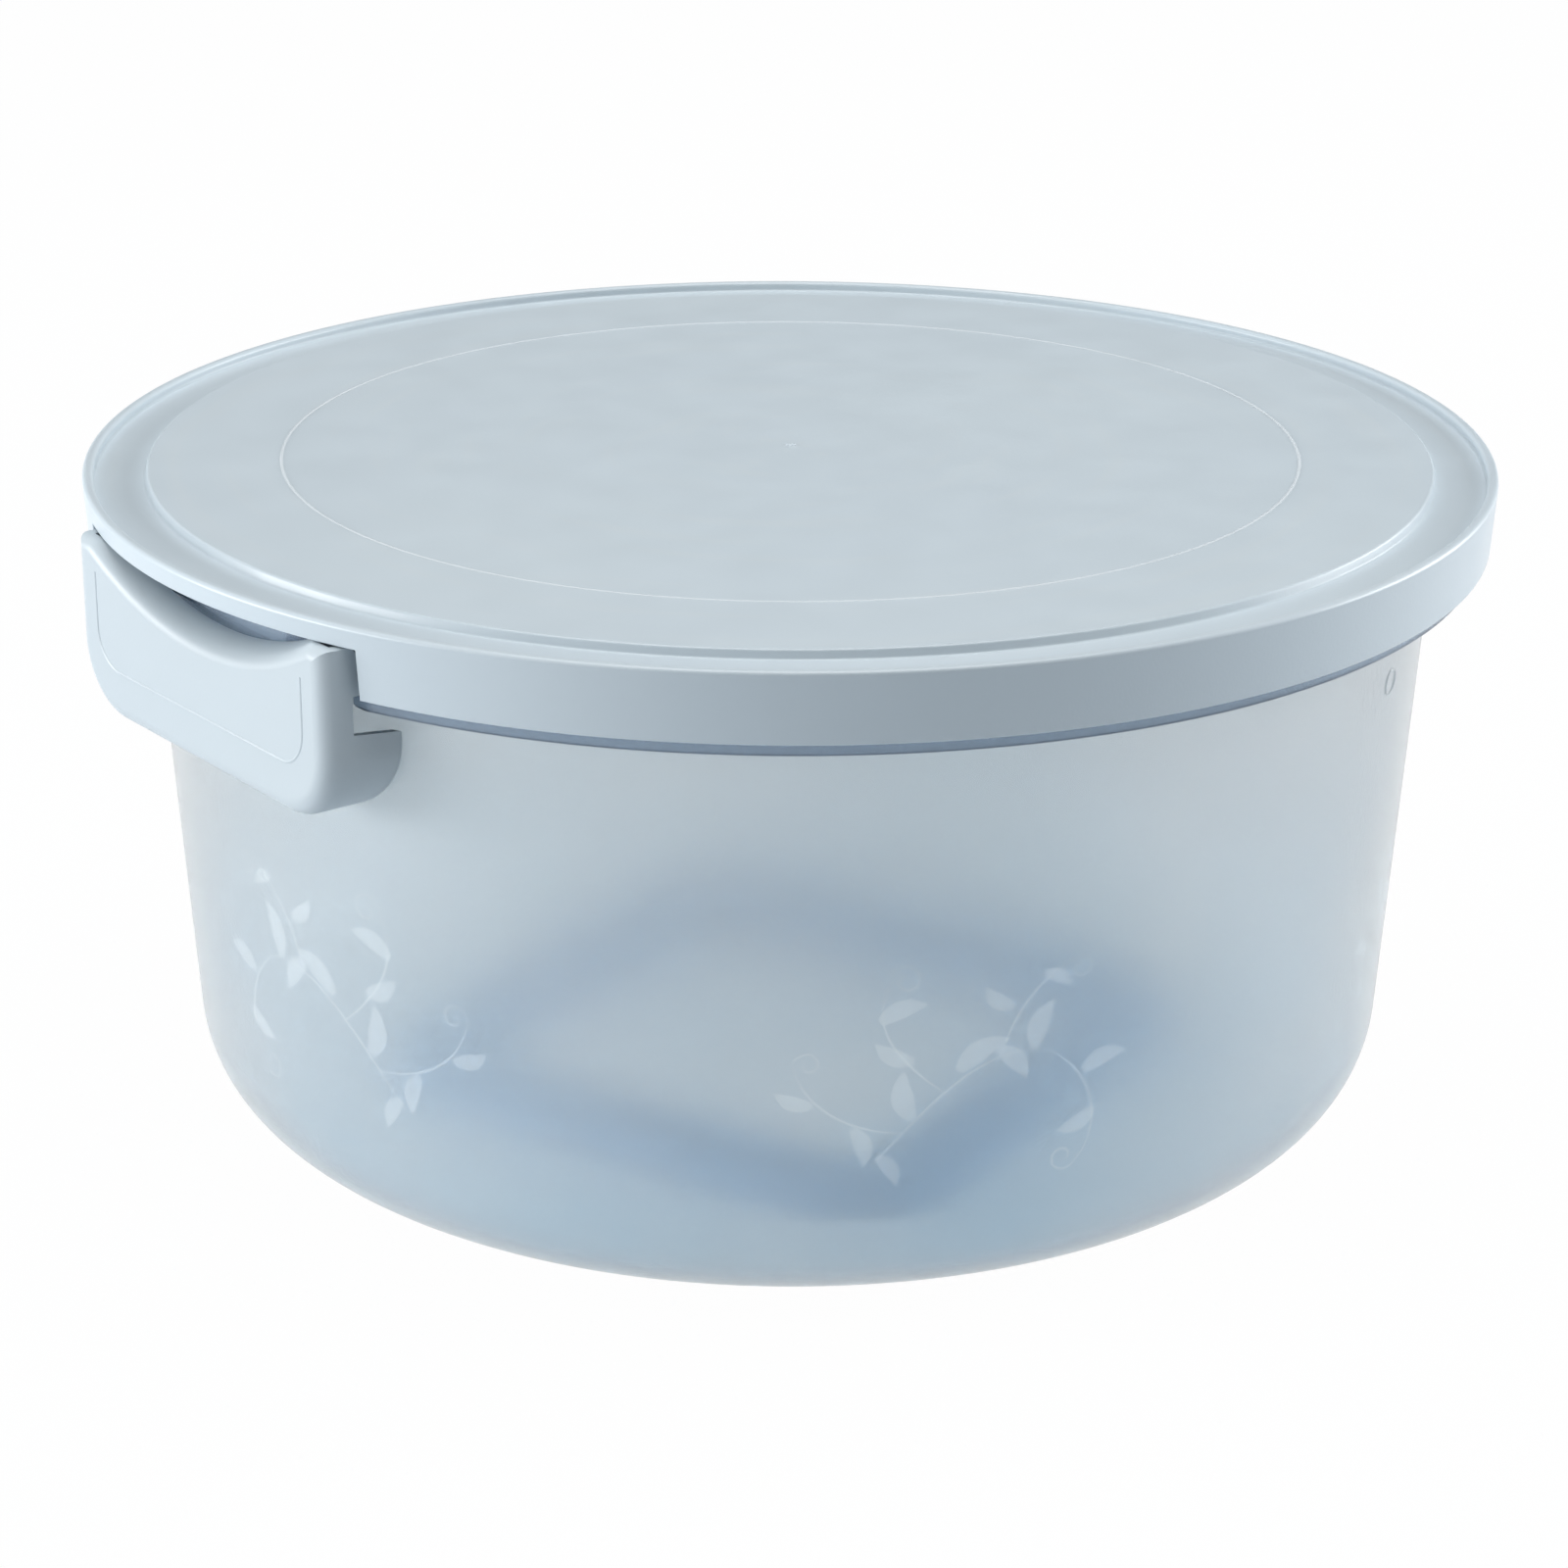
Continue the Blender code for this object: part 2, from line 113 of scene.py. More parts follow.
# Turns an outline that starts and ends on the tub's axis
def turnedPiece(name, outline):
    bm = bmesh.new()
    verts = [bm.verts.new((r, 0, z)) for r, z in outline]
    edges = [bm.edges.new(pair) for pair in zip(verts, verts[1:])]
    bmesh.ops.spin(bm, geom=verts + edges, cent=(0, 0, 0), axis=(0, 0, 1), angle=2 * math.pi,
                   steps=around, use_merge=True)
    bmesh.ops.remove_doubles(bm, verts=bm.verts, dist=weld)
    bmesh.ops.recalc_face_normals(bm, faces=bm.faces)
    return meshObject(name, bm)


def blockTool(low, high):
    bm = bmesh.new()
    bmesh.ops.create_cube(bm, size=1)
    low, high = Vector(low), Vector(high)
    bmesh.ops.scale(bm, vec=high - low, verts=bm.verts)
    bmesh.ops.translate(bm, vec=(low + high) / 2, verts=bm.verts)
    return meshObject("tool", bm)


def pinTool(x, z, radius, near, far):
    bm = bmesh.new()
    place = Matrix.Translation((x, (near + far) / 2, z)) @ Matrix.Rotation(math.pi / 2, 4, "X")
    bmesh.ops.create_cone(bm, cap_ends=True, segments=pinSteps, radius1=radius, radius2=radius,
                          depth=abs(far - near), matrix=place)
    return meshObject("tool", bm)


# Extrudes an (x, z) outline from y = near to y = far
def prismTool(outline, near, far):
    bm = bmesh.new()
    face = bm.faces.new([bm.verts.new((x, near, z)) for x, z in outline])
    grown = bmesh.ops.extrude_face_region(bm, geom=[face])["geom"]
    bmesh.ops.translate(bm, vec=(0, far - near, 0), verts=vertsOf(grown))
    bmesh.ops.recalc_face_normals(bm, faces=bm.faces)
    return meshObject("tool", bm)


# Applies exact Booleans, then removes the tools
def combine(piece, operation, tools):
    for tool in tools:
        step = piece.modifiers.new("step", "BOOLEAN")
        step.operation = operation
        step.solver = "EXACT"
        step.object = tool
    applyModifiers(piece)
    for tool in tools:
        bpy.data.objects.remove(tool)


def applyModifiers(piece):
    bpy.context.view_layer.update()
    graph = bpy.context.evaluated_depsgraph_get()
    mesh = bpy.data.meshes.new_from_object(piece.evaluated_get(graph))
    piece.modifiers.clear()
    piece.data = mesh


# Gives a piece its material, smooth shading and CAD body
def dress(piece, material, body, sharp=40):
    piece.data.materials.clear()
    piece.data.materials.append(material)
    piece.data.shade_smooth()
    piece.data.set_sharp_from_angle(angle=math.radians(sharp))
    weighted = piece.modifiers.new("weighted", "WEIGHTED_NORMAL")
    weighted.keep_sharp = True
    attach(piece, body)


# Materials
def startMaterial(name, roughness):
    material = bpy.data.materials.new(name)
    material.use_nodes = True
    nodes, links = material.node_tree.nodes, material.node_tree.links
    shader = nodes["Principled BSDF"]
    shader.inputs["Roughness"].default_value = roughness
    coords = nodes.new("ShaderNodeTexCoord")
    return material, nodes, links, shader, coords


def noise(nodes, links, vector, scale, detail=2):
    texture = nodes.new("ShaderNodeTexNoise")
    texture.inputs["Scale"].default_value = scale
    texture.inputs["Detail"].default_value = detail
    links.new(vector, texture.inputs["Vector"])
    return texture.outputs["Fac"]


def ranged(nodes, links, value, low, high, fromLow=0.3, fromHigh=0.7):
    mapRange = nodes.new("ShaderNodeMapRange")
    mapRange.inputs["From Min"].default_value = fromLow
    mapRange.inputs["From Max"].default_value = fromHigh
    mapRange.inputs["To Min"].default_value = low
    mapRange.inputs["To Max"].default_value = high
    links.new(value, mapRange.inputs["Value"])
    return mapRange.outputs["Result"]


def mixed(nodes, links, factor, first, second):
    mix = nodes.new("ShaderNodeMix")
    mix.data_type = "RGBA"
    links.new(factor, mix.inputs["Factor"])
    for socket, colour in (("A", first), ("B", second)):
        if isinstance(colour, bpy.types.NodeSocket):
            links.new(colour, colourSocket(mix, socket))
        else:
            colourSocket(mix, socket).default_value = (*colour, 1)
    return colourSocket(mix, "Result", True)


# The colour socket of that name on a Mix node, which has one for each data type
def colourSocket(mix, name, output=False):
    sockets = mix.outputs if output else mix.inputs
    return [s for s in sockets if s.name == name and s.type == "RGBA"][0]


def bump(nodes, links, shader, height, strength, distance):
    node = nodes.new("ShaderNodeBump")
    node.inputs["Strength"].default_value = strength
    node.inputs["Distance"].default_value = distance
    links.new(height, node.inputs["Height"])
    links.new(node.outputs["Normal"], shader.inputs["Normal"])


def vectorMath(nodes, links, operation, first, second=None, scale=None):
    node = nodes.new("ShaderNodeVectorMath")
    node.operation = operation
    links.new(first, node.inputs[0])
    if isinstance(second, bpy.types.NodeSocket):
        links.new(second, node.inputs[1])
    elif second is not None:
        node.inputs[1].default_value = second
    if scale is not None:
        node.inputs["Scale"].default_value = scale
    return node.outputs["Value" if operation == "LENGTH" else "Vector"]


# Distance from the tub's axis, and a noise drawn out along circles about it, as plastic flows
def flowMarks(nodes, links, place, fineness, spread):
    flat = vectorMath(nodes, links, "MULTIPLY", place, (1, 1, 0))
    radius = vectorMath(nodes, links, "LENGTH", flat)
    outwards = vectorMath(nodes, links, "SCALE", vectorMath(nodes, links, "NORMALIZE", flat), scale=spread)
    rise = nodes.new("ShaderNodeCombineXYZ")
    links.new(radius, rise.inputs["Z"])
    fine = vectorMath(nodes, links, "SCALE", rise.outputs["Vector"], scale=fineness)
    return radius, noise(nodes, links, vectorMath(nodes, links, "ADD", outwards, fine), 1, 4)


skin = {
    "cloudScale": 9, "satinScale": 60, "satinSpread": 0.05,
    "grainScale": 1400, "grain": 0.12, "grainDepth": 0.0002,
}


# Opaque moulded plastic: a soft cloudiness in its colour, uneven satin, and a fine skin; with flow, also flow
# streaks and a painted highlight along a ridge
def mouldedPlastic(name, colour, deep, roughness, flow=None):
    material, nodes, links, shader, coords = startMaterial(name, roughness)
    place = coords.outputs["Object"]
    clouds = ranged(nodes, links, noise(nodes, links, place, skin["cloudScale"], 3), 0, 1)
    tint = mixed(nodes, links, clouds, deep, colour)
    if flow:
        radius, marks = flowMarks(nodes, links, place, flow["fineness"], flow["spread"])
        streaks = ranged(nodes, links, marks, 0, flow["strength"], flow["streakFrom"], flow["streakTo"])
        tint = mixed(nodes, links, streaks, tint, flow["colour"])
        # A lighter line along the lid's raised circle: a painted highlight on the ridge
        onRidge = nodes.new("ShaderNodeMath")
        onRidge.operation = "COMPARE"
        onRidge.inputs[1].default_value = flow["ridge"]
        onRidge.inputs[2].default_value = flow["ridgeHalfWidth"]
        links.new(radius, onRidge.inputs[0])
        paintedHighlight = ranged(nodes, links, onRidge.outputs[0], 0, flow["ridgeHighlightShare"], 0, 1)
        tint = mixed(nodes, links, paintedHighlight, tint, flow["ridgeHighlightColour"])
    links.new(tint, shader.inputs["Base Color"])
    spread = skin["satinSpread"]
    unevenness = noise(nodes, links, place, skin["satinScale"], 4)
    satin = ranged(nodes, links, unevenness, roughness - spread, roughness + spread)
    links.new(satin, shader.inputs["Roughness"])
    grain = noise(nodes, links, place, skin["grainScale"])
    bump(nodes, links, shader, grain, skin["grain"], skin["grainDepth"])
    return material


# Frosted plastic: light passes through but is scattered
# Its colour deepens towards the foot; on the rim it is darker, partly the thick plastic's deeper tint and
# partly painted shade under the lid's skirt
def frostedPlastic(name, settings):
    material, nodes, links, shader, coords = startMaterial(name, settings["roughness"])
    place = coords.outputs["Object"]
    split = nodes.new("ShaderNodeSeparateXYZ")
    links.new(place, split.inputs["Vector"])
    rise = ranged(nodes, links, split.outputs["Z"], 0, 1, 0, settings["fadeHeight"])
    low, high = settings["lowColour"], settings["highColour"]
    wall = mixed(nodes, links, rise, low, high)
    unevenness = noise(nodes, links, place, settings["cloudScale"], 3)
    clouds = ranged(nodes, links, unevenness, 0, settings["cloudiness"])
    clouded = mixed(nodes, links, clouds, wall, settings["cloudColour"])
    # Above the rim's foot the colour darkens: partly the thick plastic's tint, partly painted shade under the
    # lid's skirt
    rimFoot, rimFade = settings["rimFoot"], settings["rimFade"]
    onRim = ranged(nodes, links, split.outputs["Z"], 0, 1, rimFoot, rimFoot + rimFade)
    links.new(mixed(nodes, links, onRim, clouded, settings["rimTintAndShadeColour"]), shader.inputs["Base Color"])
    shader.inputs["Transmission Weight"].default_value = settings["transmission"]
    shader.inputs["IOR"].default_value = settings["ior"]
    grain = noise(nodes, links, place, settings["grainScale"])
    bump(nodes, links, shader, grain, settings["grain"], settings["grainDepth"])
    return material


looks = {
    "lidColour": (0.60, 0.68, 0.73), "lidDeep": (0.585, 0.665, 0.72), "lidRoughness": 0.34,
    "clipColour": (0.54, 0.61, 0.65), "clipDeep": (0.525, 0.595, 0.64), "clipRoughness": 0.38,
    "ringColour": (0.50, 0.70, 0.94), "ringDeep": (0.48, 0.68, 0.92), "ringRoughness": 0.45,
    "printColour": (0.86, 0.91, 0.94), "printRoughness": 0.45, "printOpacity": 0.085,
    "printPaintedGlow": 0.45,  # painted glow, standing in for light from behind scattered in the ink
}
frosted = {
    "roughness": 0.23, "transmission": 0.79, "ior": 1.45, "fadeHeight": 0.14,
    "lowColour": (0.72, 0.85, 0.94), "highColour": (0.88, 0.91, 0.92),
    "cloudColour": (0.92, 0.93, 0.93), "cloudiness": 0.5, "cloudScale": 14,
    "grainScale": 900, "grain": 0.15, "grainDepth": 0.0002,
    # The rim colour is partly the thick plastic's tint and partly painted shade under the skirt
    "rimTintAndShadeColour": (0.42, 0.51, 0.62), "rimFoot": 0.1300, "rimFade": 0.0012,
}
clipPlastic = mouldedPlastic("clipPlastic", looks["clipColour"], looks["clipDeep"], looks["clipRoughness"])
ringPlastic = mouldedPlastic("ringPlastic", looks["ringColour"], looks["ringDeep"], looks["ringRoughness"])
tubPlastic = frostedPlastic("tubPlastic", frosted)
printInk = startMaterial("printInk", looks["printRoughness"])[0]
inkShader = printInk.node_tree.nodes["Principled BSDF"]
inkShader.inputs["Base Color"].default_value = (*looks["printColour"], 1)
inkShader.inputs["Alpha"].default_value = looks["printOpacity"]
# The ink glows: painted light standing in for light from behind
inkShader.inputs["Emission Color"].default_value = (*looks["printColour"], 1)
inkShader.inputs["Emission Strength"].default_value = looks["printPaintedGlow"]
print("materials made")


# Clip handles: x is counted outwards from the tub's axis, s along the handle, z up
clipLow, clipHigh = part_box("clip_handle_right")
hinge = Vector(next(j for j in frame["joints"] if j["name"] == "clip_right_swing")["pos_m"])
clip = {
    "front": clipHigh.x, "half": clipHigh.y, "bottom": clipLow.z, "corner": 0.0160, "edge": 0.0040,
    "topEdge": 0.0027, "backEdge": 0.0004, "wall": 0.0024, "endWall": 0.0016, "knuckle": clipHigh.x - hinge.x,
    "scoopDrop": 0.0183, "scoopRise": 0.0048, "scoopRadius": 0.0950,
    "headRadius": 0.0051, "headFoot": top - 0.0150, "headSink": 0.0010, "headInset": 0.00005,
    "lipTop": top - 0.0230, "lipFall": 0.0013, "lipBack": 0.1421, "lipCurve": 0.1326, "lipHeel": 0.0018,
    "lipEndEdge": 0.0015, "lipTopEdge": 0.0018, "roof": top - 0.0135, "hollowReach": 0.02,
    "middleSteps": 64, "cornerSteps": 16, "edgeSteps": 8, "headSteps": 12, "lipSteps": 4,
    "lineLeft": -0.0410, "lineRight": 0.0412, "lineFoot": top - 0.0313, "lineLeftTop": top - 0.0112,
    "lineRightTop": top - 0.0118, "lineCorner": 0.0082, "lineWidth": 0.0008, "lineProud": 0.00018,
}
clip["depth"] = 2 * clip["knuckle"]
clip["topOverAxis"] = top - bandDrop - gap - hinge.z
lipSweep = clip["half"] ** 2 / (2 * clip["lipCurve"])  # how much deeper the lip is at its ends
clip["lipLength"] = clip["front"] - clip["depth"] - clip["lipBack"] + lipSweep
lug = {
    "near": 0.0434, "far": 0.0464, "radius": 0.0021, "armTop": -0.0004, "armSteps": 24, "slotSteps": 16,
    "pinRadius": 0.0012, "pinLength": 0.0014,
    "flatX": 0.1426, "flatHalf": 0.060, "flatBottom": top - 0.0130, "web": 0.0018,
}


# Distances along the handle, closing up round its corners
def clipColumn(column, inset):
    corner, middle = clip["corner"], clip["half"] - clip["corner"]
    past = abs(column) - clip["middleSteps"] / 2
    if past <= 0:
        return middle * column / (clip["middleSteps"] / 2)
    turned = math.pi / 2 * past / clip["cornerSteps"]
    return math.copysign(middle + (corner - inset) * math.sin(turned), column)


def clipFoot(s, sideInset, lowInset):
    past = max(0, abs(s) - (clip["half"] - clip["corner"])) / (clip["corner"] - sideInset)
    rise = clip["corner"] - lowInset
    return clip["bottom"] + lowInset + rise * (1 - math.sqrt(max(0, 1 - past ** 2)))


# Height of the thumb scoop: it rises as it goes in, steeply at first and then level
def scoopHeight(s, depth):
    rise = clip["scoopRise"] * math.sqrt(1 - (1 - depth / clip["depth"]) ** 2)
    radius = clip["scoopRadius"]
    return top - clip["scoopDrop"] + rise + radius - math.sqrt(radius ** 2 - s ** 2)


def lipBackAt(s):
    return clip["lipBack"] - s ** 2 / (2 * clip["lipCurve"])


# How far a round edge has drawn in, at a distance from the face that it runs out to
def rounding(distance, radius):
    return radius - math.sqrt(radius ** 2 - max(0, radius - distance) ** 2)


# A ring is a function from column and row to a point; row 1 is the top, 0 the waist, -1 the foot
def plateRing(depth, inset):
    drawn = rounding(depth, clip["topEdge"]) or rounding(clip["depth"] - depth, clip["backEdge"])
    over = clip["topOverAxis"] - drawn

    def point(column, row):
        s = clipColumn(column, inset)
        high = min(hinge.z + over, scoopHeight(s, depth))
        return (clip["front"] - depth, s, (clipFoot(s, inset, inset), clip["lipTop"], high)[row + 1])
    return point


# share counts from the plate's back to the lip's back
def lipRing(share):
    distance = (1 - share) * clip["lipLength"]
    sideInset, lowInset = rounding(distance, clip["lipEndEdge"]), rounding(distance, clip["lipHeel"])
    lipTop = clip["lipTop"] - share * clip["lipFall"] - rounding(distance, clip["lipTopEdge"])

    def point(column, row):
        s = clipColumn(column, sideInset)
        back = clip["front"] - clip["depth"]
        return (back - share * (back - lipBackAt(s)), s, (clipFoot(s, sideInset, lowInset), lipTop)[row + 1])
    return point


# The hollow behind the plate is open towards the tub
def hollowRing(x):
    wall = clip["wall"]

    def point(column, row):
        s = clipColumn(column, clip["endWall"])
        roof = min(clip["roof"], scoopHeight(s, wall) - wall)
        return (x, s, (clipFoot(s, clip["endWall"], wall), clip["lipTop"], roof)[row + 1])
    return point


# Extrudes a strip of faces from ring to ring; some rings take only the rows that keepRow names
def stripSolid(name, stages):
    columns = clip["middleSteps"] // 2 + clip["cornerSteps"]
    bm = bmesh.new()
    column, row = bm.verts.layers.int.new("column"), bm.verts.layers.int.new("row")
    made = bmesh.ops.create_grid(bm, x_segments=2 * columns, y_segments=2, size=1)["verts"]
    for v in made:
        v[column], v[row] = round(v.co.x * columns), round(v.co.y)
    faces = list(bm.faces)
    for v in made:
        v.co = stages[0][0][0](v[column], v[row])
    for stage, (rings, keepRow) in enumerate(stages):
        if keepRow is not None:
            faces = [f for f in faces if all(v[row] in keepRow for v in f.verts)]
        for ring in rings[1 if stage == 0 else 0:]:
            edges = list(dict.fromkeys(e for f in faces for e in f.edges))
            grown = bmesh.ops.extrude_face_region(bm, geom=faces + edges)["geom"]
            faces = [g for g in grown if isinstance(g, bmesh.types.BMFace)]
            for v in vertsOf(grown):
                v.co = ring(v[column], v[row])
    bmesh.ops.remove_doubles(bm, verts=bm.verts, dist=fineWeld)
    bmesh.ops.recalc_face_normals(bm, faces=bm.faces)
    return meshObject(name, bm)


# (x, z) points on an arc about the hinge
def hingeArc(radius, first, sweep, steps):
    angles = [first + sweep * k / steps for k in range(steps + 1)]
    return [(hinge.x + radius * math.cos(a), hinge.z + radius * math.sin(a)) for a in angles]


# Room for a lug, open behind and above so that the handle can turn on its pins
def slotTool(side):
    room, right = lug["radius"] + gap, lug["armTop"] + gap
    outline = hingeArc(room, -math.pi / 2, math.pi / 2 + math.acos(right / room), lug["slotSteps"])
    back = hinge.x - clip["depth"]
    outline += [(hinge.x + right, top), (back, top), (back, hinge.z - room)]
    slot = prismTool(outline, side * (lug["near"] - gap), side * (lug["far"] + gap))
    reach = lug["pinLength"] + gap
    ends = side * (lug["near"] - reach), side * (lug["far"] + reach)
    combine(slot, "UNION", [pinTool(hinge.x, hinge.z, lug["pinRadius"] + gap, *ends)])
    return slot


# The thicker part behind each end of the plate's top, round about the hinge so that it can turn
def headTools():
    over, radius = clip["topOverAxis"] - clip["backEdge"], clip["headRadius"]
    inside = clip["front"] - clip["depth"] + clip["headSink"]
    start = math.asin(over / radius)
    outline = [(inside, hinge.z + over)] + hingeArc(radius, math.pi - start, start, clip["headSteps"])
    outline += [(hinge.x - radius, clip["headFoot"]), (inside, clip["headFoot"])]
    near, far = lug["near"] - lug["pinLength"] - 2 * gap, clip["half"] - clip["headInset"]
    return [prismTool(outline, side * near, side * far) for side in (-1, 1)]


def makeClip():
    turns = [math.pi / 2 * k / clip["edgeSteps"] for k in range(clip["edgeSteps"] + 1)]
    edge, behind = clip["edge"], clip["depth"] - clip["edge"]
    plate = [plateRing(edge * (1 - math.cos(a)), edge * (1 - math.sin(a))) for a in turns]
    plate += [plateRing(edge + behind * math.sin(a), 0) for a in turns[1:]]
    heelAt = 1 - clip["lipHeel"] / clip["lipLength"]
    lip = [lipRing(heelAt * k / clip["lipSteps"]) for k in range(1, clip["lipSteps"])]
    lip += [lipRing(heelAt + (1 - heelAt) * math.sin(a)) for a in turns]
    body = stripSolid("clipBody", [(plate, None), (lip, (-1, 0))])
    ends = clip["front"] - clip["wall"], clip["lipBack"] - clip["hollowReach"]
    hollow = stripSolid("clipHollow", [([hollowRing(x) for x in ends], None)])
    combine(body, "UNION", headTools())
    combine(body, "DIFFERENCE", [slotTool(-1), slotTool(1), hollow])
    return body


# The fine raised line on the handle's face, open at the top
def makeClipLine():
    left, right, foot, corner = clip["lineLeft"], clip["lineRight"], clip["lineFoot"], clip["lineCorner"]
    path = filleted([(left, clip["lineLeftTop"], 0), (left, foot, corner), (right, foot, corner),
                     (right, clip["lineRightTop"], 0)])
    curve = bpy.data.curves.new("clipLine", "CURVE")
    curve.dimensions = "3D"
    curve.bevel_depth = clip["lineWidth"] / 2
    curve.bevel_resolution = 2
    curve.use_fill_caps = True
    spline = curve.splines.new("POLY")
    spline.points.add(len(path) - 1)
    sunk = clip["front"] + clip["lineProud"] - clip["lineWidth"] / 2
    for point, (s, z) in zip(spline.points, path):
        point.co = (sunk, s, z, 1)
    holder = bpy.data.objects.new("clipLine", curve)
    bpy.context.collection.objects.link(holder)
    bpy.context.view_layer.update()
    mesh = bpy.data.meshes.new_from_object(holder)
    bpy.data.objects.remove(holder)
    return mesh


clipBody, clipLine = makeClip(), makeClipLine()
for side, turn in (("right", 0), ("left", math.pi)):
    for label, mesh in (("Shell", clipBody.data), ("Line", clipLine)):
        copy = mesh.copy()
        copy.transform(Matrix.Rotation(turn, 4, "Z"))
        piece = bpy.data.objects.new(side + "Clip" + label, copy)
        bpy.context.collection.objects.link(piece)
        dress(piece, clipPlastic, "clip_" + side)
        if label == "Shell":
            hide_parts("clip_handle_" + side)
bpy.data.objects.remove(clipBody)
print("clip handles made")


# Lid
lid = {
    "plate": 0.0020, "platformRadius": 0.1410, "platformEdge": 0.0006, "channelDrop": 0.0022,
    "channelFoot": 0.1416, "channelEdge": 0.0006, "beadInner": 0.1526, "beadEdge": 0.0009,
    "skirtDrop": 0.0150, "skirtFoot": 0.1540, "skirtWall": 0.0020, "skirtEdge": 0.0004,
    "plugRadius": 0.1399, "plugWall": 0.0018, "plugDrop": 0.0110, "plugEdge": 0.0005, "underEdge": 0.0010,
    "notchHalf": 0.0521, "notchEdge": 0.0004,
    "circleRadius": 0.1120, "circleHeight": 0.0002, "circleHalfWidth": 0.00045,
    "gateDip": 0.0003, "gateFlat": 0.00055, "gateRadius": 0.0011, "gateEdge": 0.00022, "gateFoot": 0.00176,
}


def makeLid():
    plane = top - lid["circleHeight"]
    floor, foot = top - lid["channelDrop"], top - lid["skirtDrop"]
    ceiling, under = floor - lid["plate"], top - lid["plate"]
    circle, wide = lid["circleRadius"], lid["circleHalfWidth"]
    plug, plugInner, plugFoot = lid["plugRadius"], lid["plugRadius"] - lid["plugWall"], top - lid["plugDrop"]
    dip, plugEdge, bead, skirt = plane - lid["gateDip"], lid["plugEdge"], lid["beadInner"], lid["skirtFoot"]
    outline = filleted([
        (0, dip, 0), (lid["gateFlat"], dip, 0), (lid["gateRadius"], top, lid["gateEdge"]),
        (lid["gateFoot"], plane, 0), (circle - wide, plane, 0), (circle, top, wide / 2),
        (circle + wide, plane, 0), (lid["platformRadius"], plane, lid["platformEdge"]),
        (lid["channelFoot"], floor, lid["channelEdge"]), (bead, floor, lid["channelEdge"]),
        (bead, top, lid["beadEdge"]), (lidRadius, top, lid["beadEdge"]),
        (skirt, foot, lid["skirtEdge"]), (skirt - lid["skirtWall"], foot, lid["skirtEdge"]),
        (bead, ceiling, plugEdge), (plug, ceiling, plugEdge), (plug, plugFoot, plugEdge),
        (plugInner, plugFoot, plugEdge), (plugInner, under, lid["underEdge"]), (0, under, 0),
    ])
    piece = turnedPiece("lidShell", outline)
    inside, outside = plug + 2 * gap, lidRadius + toolReach
    half, bandFoot = lid["notchHalf"], top - bandDrop
    notches = [blockTool((low, -half, foot - toolReach), (high, half, bandFoot))
               for low, high in ((inside, outside), (-outside, -inside))]
    combine(piece, "DIFFERENCE", notches)
    roundNotches(piece)
    return piece


# Rounds the outer edges that the notches leave in the skirt
def roundNotches(piece):
    bm = bmesh.new()
    bm.from_mesh(piece.data)
    foot, half, bandFoot, near = lid["skirtFoot"], lid["notchHalf"], top - bandDrop, 1e-5

    def onSide(v):
        return abs(abs(v.co.y) - half) < near and v.co.xy.length > foot - 10 * near

    def onBand(v):
        return abs(v.co.z - bandFoot) < near and v.co.xy.length > foot
    sides = [e for e in bm.edges if all(onSide(v) for v in e.verts)]
    bands = [e for e in bm.edges if all(onBand(v) for v in e.verts)]
    bmesh.ops.bevel(bm, geom=list(dict.fromkeys(sides + bands)), offset=lid["notchEdge"], affect="EDGES",
                    segments=3, profile=0.5, material=-1)
    bm.to_mesh(piece.data)
    bm.free()


# Flow streaks in the lid's plastic; the ridge colour is a painted highlight along the raised circle
flow = {
    "fineness": 160, "spread": 1.7, "strength": 0.5, "streakFrom": 0.52, "streakTo": 0.72,
    "colour": (0.61, 0.68, 0.72), "ridgeHighlightColour": (0.80, 0.85, 0.88),
    "ridge": lid["circleRadius"], "ridgeHalfWidth": 0.00035, "ridgeHighlightShare": 0.5,
}
lidPlastic = mouldedPlastic("lidPlastic", looks["lidColour"], looks["lidDeep"], looks["lidRoughness"], flow)
lidShell = makeLid()
dress(lidShell, lidPlastic, "lid")
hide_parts("lid")
print("lid made")


# Tub
tub = {
    "wall": 0.0020, "radiusAtFloor": 0.1332, "lean": 0.0657, "corner": 0.0265,
    "lipRadius": 0.1517, "lipWall": 0.0018, "lipFoot": top - 0.0180, "lipEdge": 0.0006,
    "lipInnerEdge": 0.0004, "rimRoot": 0.0012, "rimEdge": 0.0010,
    "rimTop": top - lid["channelDrop"] - lid["plate"] - gap,
}


def wallRadius(z):
    return tub["radiusAtFloor"] + tub["lean"] * z


# One hinge lug on the tub's flat, and its pin
def lugTools(side):
    sweep = 3 * math.pi / 2 - math.asin(lug["armTop"] / lug["radius"])
    head = hingeArc(lug["radius"], -math.pi / 2, sweep, lug["armSteps"])
    foot = lug["flatX"] - lug["web"] / 2
    outline = [(foot, hinge.z - lug["radius"])] + head + [(foot, hinge.z + lug["armTop"])]
    ends = (side * (lug["near"] - lug["pinLength"]), side * (lug["far"] + lug["pinLength"]))
    return [prismTool(outline, side * lug["near"], side * lug["far"]),
            pinTool(hinge.x, hinge.z, lug["pinRadius"], *ends)]


